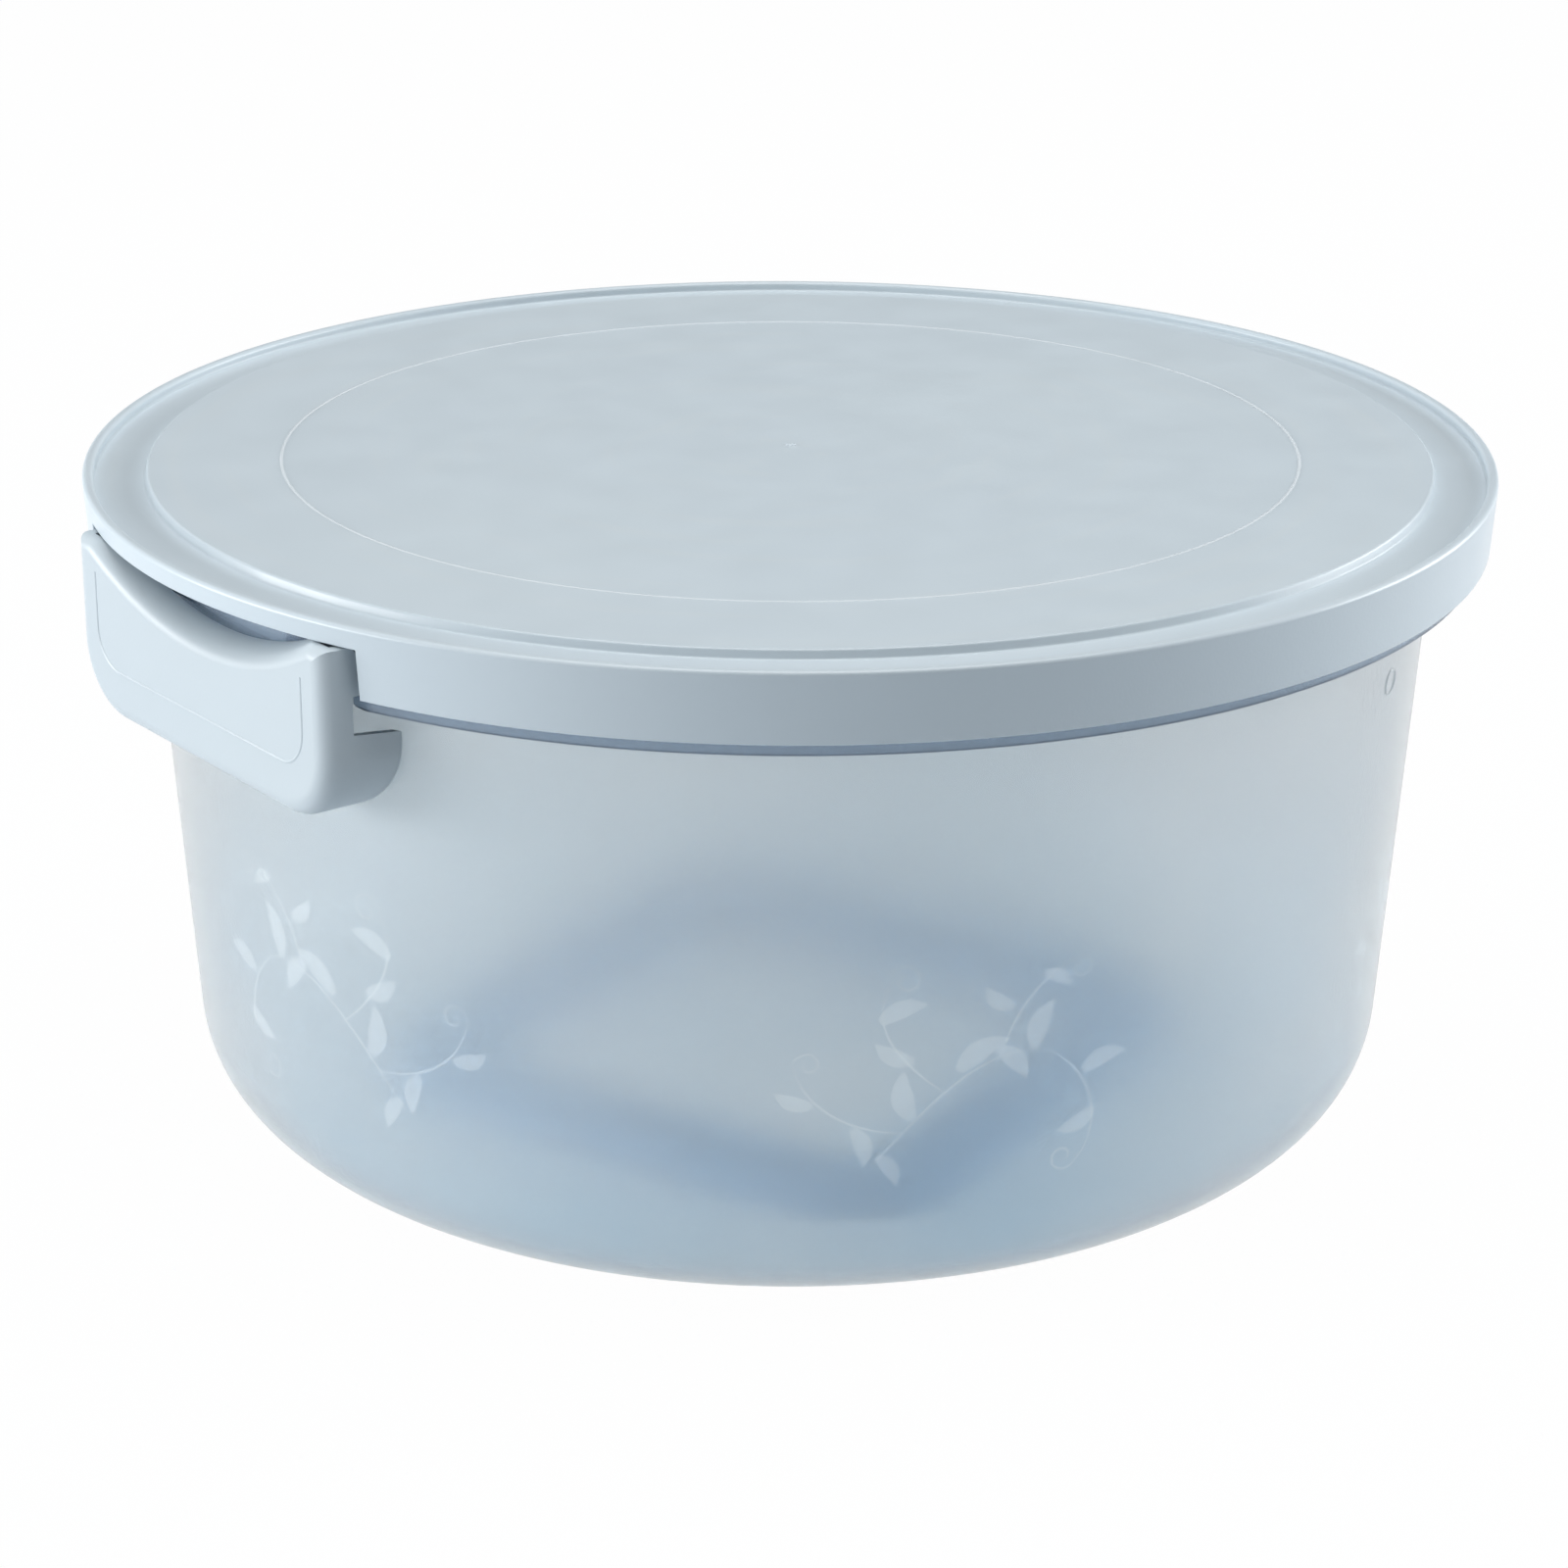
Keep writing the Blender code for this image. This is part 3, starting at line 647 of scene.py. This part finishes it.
def makeTub():
    slope = math.sqrt(1 + tub["lean"] ** 2)
    wall, rimTop, lipWall = tub["wall"], tub["rimTop"], tub["lipWall"]
    underRim = rimTop - lipWall
    lipRadius, lipFoot, lipInner = tub["lipRadius"], tub["lipFoot"], tub["lipRadius"] - lipWall
    outline = filleted([
        (0, 0, 0), (wallRadius(0), 0, tub["corner"]), (wallRadius(underRim), underRim, tub["rimRoot"]),
        (lipInner, underRim, tub["lipInnerEdge"]), (lipInner, lipFoot, tub["lipInnerEdge"]),
        (lipRadius, lipFoot, tub["lipEdge"]), (lipRadius, rimTop, tub["rimEdge"]),
        (wallRadius(rimTop) - wall * slope, rimTop, tub["rimEdge"]),
        (wallRadius(wall) - wall * slope, wall, tub["corner"] - wall), (0, wall, 0),
    ])
    piece = turnedPiece("tubShell", outline)
    flatX, flatHalf = lug["flatX"], lug["flatHalf"]
    webHalf = math.sqrt(lipRadius ** 2 - flatX ** 2) - lipWall / 2
    flats, additions = [], []
    for turn in (0, math.pi):
        flat = blockTool((flatX, -flatHalf, lipFoot - toolReach), (lidRadius, flatHalf, top))
        web = blockTool((flatX - lug["web"], -webHalf, lug["flatBottom"]),
                        (flatX, webHalf, rimTop - lipWall / 2))
        lugs = lugTools(-1) + lugTools(1)
        for tool in [flat, web] + lugs:
            tool.data.transform(Matrix.Rotation(turn, 4, "Z"))
        flats.append(flat)
        additions += [web] + lugs
    combine(piece, "DIFFERENCE", flats)
    combine(piece, "UNION", additions)
    return piece


tubShell = makeTub()
dress(tubShell, tubPlastic, "tub")
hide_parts("tub")
print("tub made")


# Faint print round the wall. A sprig is drawn flat, in millimetres along the wall and up, and bent round it
vine = {
    "sprigs": 6, "firstTurn": math.radians(-112), "foot": 0.0335, "scale": (1.0, 0.86, 1.08),
    "proud": 0.00004, "film": 0.00003, "stemWidth": 0.55, "curlWidth": 0.5,
    "lineLeast": 0.4, "leafLeast": 0.06,  # least shares of a width, at its ends
    "stemSteps": 20, "curlSteps": 30, "leafSteps": 12, "leafBow": 0.12, "curlCloses": 0.8,
    "taperFrom": 0.12, "taperReach": 0.86,  # shares of a half wave
    "stems": (  # start, two handles, end
        ((-20, 4), (-8, 18), (2, 30), (16, 26)), ((-4, 18), (-14, 26), (-22, 34), (-17, 45)),
        ((16, 26), (26, 20), (30, 8), (24, 0)), ((6, 27), (8, 36), (14, 44), (22, 46)),
        ((-14, 11), (-26, 12), (-34, 18), (-36, 27)),
    ),
    "curls": (  # middle, size, start in degrees, turns
        (-14, 45, 3.6, 180, 1.4), (20.5, 1, 3.4, 0, 1.3), (22, 43.4, 2.7, 90, 1.2), (-33, 27, 3, 180, 1.2),
    ),
    "leaves": (  # base, direction in degrees, length, width
        (-12, 14, 100, 11, 4.6), (-3, 24, 30, 12, 4.8), (5, 28, -50, 10, 4.2), (13, 27, 70, 11, 4.6),
        (24, 20, 15, 10, 4.2), (27, 11, 205, 9, 3.8), (-12, 27, 150, 9, 3.8), (-19, 36, 20, 10, 4.0),
        (-24, 12.5, -75, 9, 3.8), (-32, 18, 160, 8, 3.4), (8, 37, 140, 8, 3.4), (14, 43.5, -30, 7, 3.0),
        (-19, 6, -60, 8, 3.4),
    ),
}


def wallPoint(along, z, proud):
    radius = wallRadius(z) + proud
    turn = along / wallRadius(z)
    return Vector((radius * math.cos(turn), radius * math.sin(turn), z))


# A strip of print with its own width at each point of its path
def addRibbon(bm, path, widths, place):
    count = len(path) - 1
    made = bmesh.ops.create_grid(bm, x_segments=count, y_segments=2, size=1)["verts"]
    faces = list(dict.fromkeys(f for v in made for f in v.link_faces))
    for v in made:
        i = round((v.co.x + 1) / 2 * count)
        tangent = (path[min(i + 1, count)] - path[max(i - 1, 0)]).normalized()
        spot = path[i] + Vector((-tangent.y, tangent.x)) * widths[i] / 2 * v.co.y
        v.co = place(spot, vine["proud"])
    for v in vertsOf(bmesh.ops.extrude_face_region(bm, geom=faces)["geom"]):
        v.co -= Vector((v.co.x, v.co.y, 0)).normalized() * vine["film"]


# Widths that swell and close again, never under the least share
def taper(count, width, least):
    start, reach = vine["taperFrom"], vine["taperReach"]
    return [width * max(least, math.sin(math.pi * (start + reach * i / count))) for i in range(count + 1)]


def stemPoints(start, first, second, end):
    points = [Vector(p) for p in (start, first, second, end)]
    path, count = [], vine["stemSteps"]
    for i in range(count + 1):
        t = i / count
        weights = ((1 - t) ** 3, 3 * t * (1 - t) ** 2, 3 * t ** 2 * (1 - t), t ** 3)
        path.append(sum((w * p for w, p in zip(weights, points)), Vector((0, 0))))
    return path


def curlPoints(x, y, size, start, turns):
    path, count = [], vine["curlSteps"]
    for i in range(count + 1):
        a = math.radians(start) - 2 * math.pi * turns * i / count
        reach = size * (1 - vine["curlCloses"] * i / count)
        path.append(Vector((x, y)) + reach * Vector((math.cos(a), math.sin(a))))
    return path


def leafPoints(x, y, direction, length):
    a = math.radians(direction)
    along, across = Vector((math.cos(a), math.sin(a))), Vector((-math.sin(a), math.cos(a)))
    path, count = [], vine["leafSteps"]
    for i in range(count + 1):
        bow = across * length * vine["leafBow"] * math.sin(math.pi * i / count)
        path.append(Vector((x, y)) + along * length * i / count + bow)
    return path


def makePrint():
    bm = bmesh.new()
    foot = vine["foot"]
    stemWidths = taper(vine["stemSteps"], vine["stemWidth"], vine["lineLeast"])
    curlWidths = taper(vine["curlSteps"], vine["curlWidth"], vine["lineLeast"])
    for n in range(vine["sprigs"]):
        scale = vine["scale"][n % len(vine["scale"])] / 1000
        flip = 1 if n % 2 == 0 else -1
        middle = (vine["firstTurn"] + 2 * math.pi * n / vine["sprigs"]) * wallRadius(foot)

        def place(spot, proud):
            z = foot + spot.y * scale
            along = (middle + spot.x * scale * flip) * wallRadius(z) / wallRadius(foot)
            return wallPoint(along, z, proud)
        for stem in vine["stems"]:
            addRibbon(bm, stemPoints(*stem), stemWidths, place)
        for curl in vine["curls"]:
            addRibbon(bm, curlPoints(*curl), curlWidths, place)
        for x, y, direction, length, width in vine["leaves"]:
            leafWidths = taper(vine["leafSteps"], width, vine["leafLeast"])
            addRibbon(bm, leafPoints(x, y, direction, length), leafWidths, place)
    bmesh.ops.recalc_face_normals(bm, faces=bm.faces)
    return meshObject("vinePrint", bm)


# Small moulded ring on the wall, under the skirt
mark = {
    "turn": math.radians(-64), "height": 0.1155, "radius": 0.0028, "line": 0.0003, "sunk": 0.0001,
    "steps": 40, "lineSteps": 8,
}


def makeMark():
    bm = bmesh.new()
    start = Matrix.Translation((mark["radius"], 0, 0)) @ Matrix.Rotation(math.pi / 2, 4, "X")
    section = bmesh.ops.create_circle(bm, segments=mark["lineSteps"], radius=mark["line"],
                                      matrix=start)["verts"]
    edges = list(dict.fromkeys(e for v in section for e in v.link_edges))
    bmesh.ops.spin(bm, geom=section + edges, cent=(0, 0, 0), axis=(0, 0, 1), angle=2 * math.pi,
                   steps=mark["steps"], use_merge=True)
    bmesh.ops.remove_doubles(bm, verts=bm.verts, dist=fineWeld)
    bmesh.ops.recalc_face_normals(bm, faces=bm.faces)
    lean = math.atan(tub["lean"])
    out = wallRadius(mark["height"]) - mark["sunk"]
    bm.transform(Matrix.Rotation(mark["turn"], 4, "Z") @ Matrix.Translation((out, 0, mark["height"]))
                 @ Matrix.Rotation(math.pi / 2 + lean, 4, "Y"))
    return meshObject("mouldMark", bm)


vinePrint = makePrint()
dress(vinePrint, printInk, "tub")
mouldMark = makeMark()
dress(mouldMark, tubPlastic, "tub")
print("print and mould mark made")


# Loose ring on the tub's floor: a quarter is swept and then turned three times
ring = {
    "side": 0.128, "width": 0.020, "height": 0.009, "corner": 0.018, "edge": 0.0035,
    "turn": math.radians(19.5), "cornerSteps": 20,
}


def makeRing():
    half, straight = ring["width"] / 2, ring["side"] / 2 - ring["corner"]
    edge, height = ring["edge"], ring["height"]
    section = filleted([(-half, 0, edge), (half, 0, edge), (half, height, edge), (-half, height, edge)])
    bm = bmesh.new()
    verts = [bm.verts.new((ring["side"] / 2 + r, 0, z)) for r, z in section]
    loop = [bm.edges.new((verts[i - 1], verts[i])) for i in range(len(verts))]
    loop = pushed(bm, loop, (0, straight, 0))
    ends = list(dict.fromkeys(v for e in loop for v in e.verts))
    swept = bmesh.ops.spin(bm, geom=ends + loop, cent=(straight, straight, 0), axis=(0, 0, 1),
                           angle=math.pi / 2, steps=ring["cornerSteps"])["geom_last"]
    pushed(bm, edgesOf(swept), (-straight, 0, 0))
    quarter = list(bm.verts) + list(bm.edges) + list(bm.faces)
    for k in range(1, 4):
        copied = bmesh.ops.duplicate(bm, geom=quarter)["geom"]
        quarterTurn = Matrix.Rotation(math.pi / 2 * k, 3, "Z")
        bmesh.ops.rotate(bm, cent=(0, 0, 0), matrix=quarterTurn, verts=vertsOf(copied))
    bmesh.ops.remove_doubles(bm, verts=bm.verts, dist=weld)
    bmesh.ops.rotate(bm, cent=(0, 0, 0), matrix=Matrix.Rotation(ring["turn"], 3, "Z"), verts=bm.verts)
    bmesh.ops.translate(bm, vec=(0, 0, tub["wall"] + gap), verts=bm.verts)
    bmesh.ops.recalc_face_normals(bm, faces=bm.faces)
    return meshObject("looseRing", bm)


# Extrudes edges by an offset and gives the edges at the far end
def pushed(bm, edges, offset):
    grown = bmesh.ops.extrude_edge_only(bm, edges=edges)["geom"]
    verts = vertsOf(grown)
    bmesh.ops.translate(bm, vec=offset, verts=verts)
    return [e for e in edgesOf(grown) if all(v in verts for v in e.verts)]


looseRing = makeRing()
dress(looseRing, ringPlastic, "ring")
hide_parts("lift_out_ring")
print("loose ring made")


# Stage, lights and camera
stageSettings = {
    "floorSize": 8, "floorDrop": 0.0002, "floorWhite": 0.985, "floorColour": (0.64, 0.70, 0.76),
    "floorRoughness": 0.9, "lampAim": (0, 0, 0.08),
    "world": 0.09, "worldColour": (0.88, 0.95, 1.0), "worldThrough": 0.9, "throughColour": (0.90, 0.97, 1.0),
}
lamps = {  # place, size in metres, power in watts
    "keyLeft": ((-1.62, 0.90, 0.34), (1.3, 0.6), 31),
    "keyRight": ((1.72, -0.61, 0.50), (1.3, 0.9), 29),
    "overhead": ((-0.1, -0.1, 1.9), (1.6, 1.6), 30),
}
photo = {
    "place": (-0.5288, -0.6860, 0.3935), "lens": 92.95, "sensor": 36,
    "tilt": math.radians(69.432), "turn": math.radians(-37.554), "roll": math.radians(0.24),
}


# White to the camera, in reflections and through the plastic, while the floor keeps a soft shadow
def whiteFor(nodes, links, keepShare):
    path = nodes.new("ShaderNodeLightPath")
    seen = path.outputs["Is Camera Ray"]
    for other in ("Is Glossy Ray", "Is Transmission Ray"):
        add = nodes.new("ShaderNodeMath")
        add.operation = "MAXIMUM"
        links.new(seen, add.inputs[0])
        links.new(path.outputs[other], add.inputs[1])
        seen = add.outputs[0]
    share = nodes.new("ShaderNodeMath")
    share.operation = "MULTIPLY"
    share.inputs[1].default_value = keepShare
    links.new(seen, share.inputs[0])
    return share.outputs[0]


def makeFloor():
    bm = bmesh.new()
    bmesh.ops.create_grid(bm, x_segments=1, y_segments=1, size=stageSettings["floorSize"] / 2)
    bmesh.ops.translate(bm, vec=(0, 0, -stageSettings["floorDrop"]), verts=bm.verts)
    floor = meshObject("floor", bm)
    material = bpy.data.materials.new("floorPaper")
    material.use_nodes = True
    nodes, links = material.node_tree.nodes, material.node_tree.links
    paper = nodes["Principled BSDF"]
    paper.inputs["Base Color"].default_value = (*stageSettings["floorColour"], 1)
    paper.inputs["Roughness"].default_value = stageSettings["floorRoughness"]
    paper.inputs["Specular IOR Level"].default_value = 0
    white = nodes.new("ShaderNodeEmission")
    mix = nodes.new("ShaderNodeMixShader")
    links.new(whiteFor(nodes, links, stageSettings["floorWhite"]), mix.inputs["Fac"])
    links.new(paper.outputs[0], mix.inputs[1])
    links.new(white.outputs[0], mix.inputs[2])
    links.new(mix.outputs[0], nodes["Material Output"].inputs["Surface"])
    floor.data.materials.append(material)


def makeWorld():
    world = bpy.data.worlds.new("studio")
    bpy.context.scene.world = world
    world.use_nodes = True
    nodes, links = world.node_tree.nodes, world.node_tree.links
    # The camera sees white, a ray through the frosted wall a pale blue, and all else the dim ambient light
    ambient = nodes["Background"]
    ambient.inputs["Color"].default_value = (*stageSettings["worldColour"], 1)
    ambient.inputs["Strength"].default_value = stageSettings["world"]
    white = nodes.new("ShaderNodeBackground")
    white.inputs["Color"].default_value = (1, 1, 1, 1)
    mix = nodes.new("ShaderNodeMixShader")
    path = nodes.new("ShaderNodeLightPath")
    through = nodes.new("ShaderNodeBackground")
    through.inputs["Color"].default_value = (*stageSettings["throughColour"], 1)
    through.inputs["Strength"].default_value = stageSettings["worldThrough"]
    inner = nodes.new("ShaderNodeMixShader")
    links.new(path.outputs["Is Transmission Ray"], inner.inputs["Fac"])
    links.new(ambient.outputs[0], inner.inputs[1])
    links.new(through.outputs[0], inner.inputs[2])
    links.new(path.outputs["Is Camera Ray"], mix.inputs["Fac"])
    links.new(inner.outputs[0], mix.inputs[1])
    links.new(white.outputs[0], mix.inputs[2])
    links.new(mix.outputs[0], nodes["World Output"].inputs["Surface"])


def makeLamps():
    for name, (place, size, power) in lamps.items():
        light = bpy.data.lights.new(name, "AREA")
        light.shape = "RECTANGLE"
        light.size, light.size_y = size
        light.energy = power
        lamp = bpy.data.objects.new(name, light)
        bpy.context.collection.objects.link(lamp)
        lamp.location = place
        towards = Vector(stageSettings["lampAim"]) - Vector(place)
        lamp.rotation_euler = towards.to_track_quat("-Z", "Y").to_euler()


def makeCamera():
    camera = bpy.data.objects.new("camera", bpy.data.cameras.new("camera"))
    bpy.context.collection.objects.link(camera)
    camera.data.lens = photo["lens"]
    camera.data.sensor_width = photo["sensor"]
    turned = Matrix.Rotation(photo["turn"], 4, "Z") @ Matrix.Rotation(photo["tilt"], 4, "X")
    camera.matrix_world = Matrix.Translation(photo["place"]) @ turned @ Matrix.Rotation(photo["roll"], 4, "Z")
    bpy.context.scene.camera = camera


makeFloor()
makeWorld()
makeLamps()
makeCamera()
bpy.context.scene.view_settings.view_transform = "Standard"
print("stage made")
